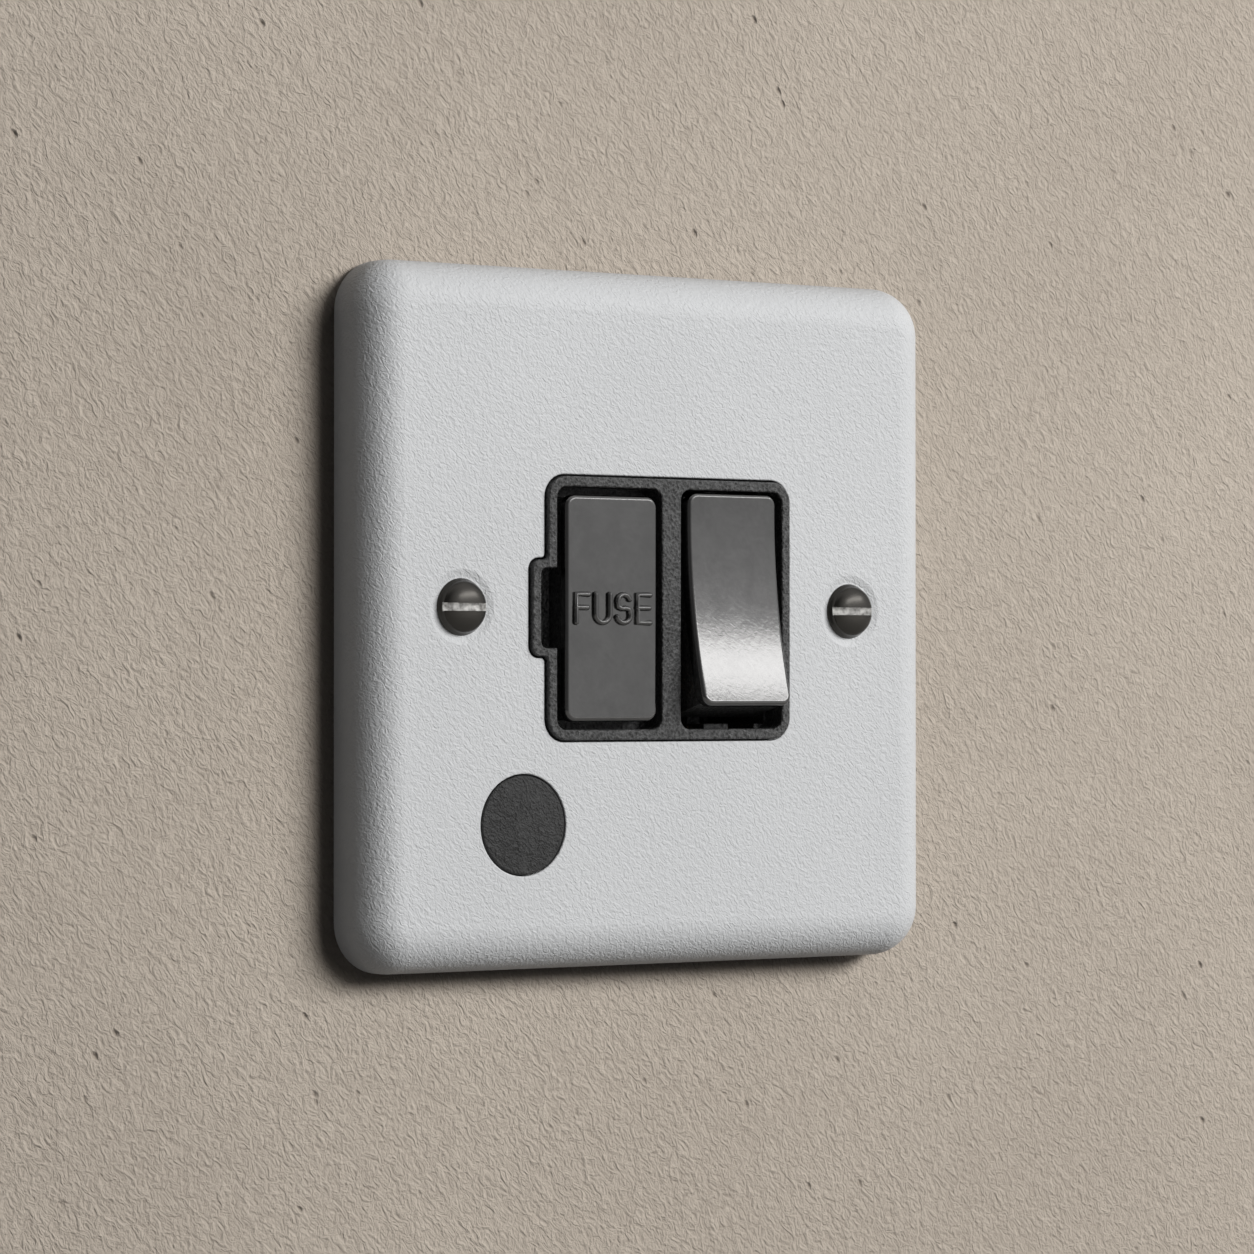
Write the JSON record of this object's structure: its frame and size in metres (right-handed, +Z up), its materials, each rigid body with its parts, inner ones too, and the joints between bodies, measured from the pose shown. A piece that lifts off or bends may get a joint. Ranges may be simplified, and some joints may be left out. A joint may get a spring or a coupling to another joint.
{
  "type": "fused spur unit",
  "caption": "Switched fused connection unit for a wall box: raised metal faceplate, rocker switch, pull-out fuse drawer, blanked flex outlet and slotted fixing screws.",
  "frame": {"origin": "the point of the wall plane midway between the two fixing screws", "axes": "+Y into the wall along the fixing screws, +Z up, +X to the right as seen from the room"},
  "size_m": [0.088, 0.0315, 0.088],
  "materials": {
    "powder_coat": "matte fine-textured powder coat",
    "black_moulding": "fine-grained moulded plastic",
    "outlet_plastic": "lightly textured moulded plastic",
    "dark_nickel": "satin black nickel",
    "screw_nickel": "polished dark nickel",
    "terminal_brass": "bright machined brass",
    "contact_copper": "pressed copper alloy strip with silver buttons",
    "zinc_steel": "zinc plated",
    "spring_steel": "drawn wire",
    "fuse_ceramic": "glazed ceramic",
    "fuse_cap_metal": "plated end cap",
    "nylon": "natural nylon"
  },
  "bodies": {
    "housing": {"faceplate": "powder_coat", "fixing_screw_left": "screw_nickel", "fixing_screw_right": "screw_nickel", "insert_moulding": "black_moulding", "rear_housing": "black_moulding", "outlet_plug": "outlet_plastic", "fuse_clip_upper": "contact_copper", "fuse_clip_lower": "contact_copper", "supply_terminal_live": "terminal_brass", "supply_terminal_neutral": "terminal_brass", "load_terminal_live": "terminal_brass", "load_terminal_neutral": "terminal_brass", "earth_terminal": "terminal_brass", "terminal_screws": "zinc_steel", "earth_strap": "contact_copper", "housing_screws": "zinc_steel", "cord_grip_bar": "black_moulding", "cord_grip_screws": "zinc_steel", "fixed_contact_live": "contact_copper", "fixed_contact_neutral": "contact_copper", "contact_bracket_live": "contact_copper", "contact_bracket_neutral": "contact_copper"},
    "rocker": {"rocker_cap": "dark_nickel", "rocker_body": "black_moulding", "plunger_live": "nylon", "plunger_neutral": "nylon", "plunger_spring_live": "spring_steel", "plunger_spring_neutral": "spring_steel"},
    "fuse_drawer": {"fuse_drawer_face": "dark_nickel", "fuse_carrier": "black_moulding", "fuse_barrel": "fuse_ceramic", "fuse_end_cap_upper": "fuse_cap_metal", "fuse_end_cap_lower": "fuse_cap_metal"},
    "live_see_saw": {"moving_contact_live": "contact_copper"},
    "neutral_see_saw": {"moving_contact_neutral": "contact_copper"}
  },
  "joints": [
    {"name": "rocker_pivot", "type": "hinge", "parent": "housing", "child": "rocker", "pos_m": [0.0107, 0.0005, 0], "axis": [1, 0, 0], "range_deg": [0, 15]},
    {"name": "fuse_drawer_slide", "type": "slide", "parent": "housing", "child": "fuse_drawer", "axis": [0, -1, 0], "range_m": [0, 0.018]},
    {"name": "live_see_saw_pivot", "type": "hinge", "parent": "housing", "child": "live_see_saw", "pos_m": [0.0067, 0.0123, 0], "axis": [1, 0, 0], "range_deg": [-19.5, 0]},
    {"name": "neutral_see_saw_pivot", "type": "hinge", "parent": "housing", "child": "neutral_see_saw", "pos_m": [0.0147, 0.0123, 0], "axis": [1, 0, 0], "range_deg": [-19.5, 0]}
  ],
  "couplings": [
    {"joint": "live_see_saw_pivot", "follows": "rocker_pivot", "ratio": -1.3},
    {"joint": "neutral_see_saw_pivot", "follows": "rocker_pivot", "ratio": -1.3}
  ]
}
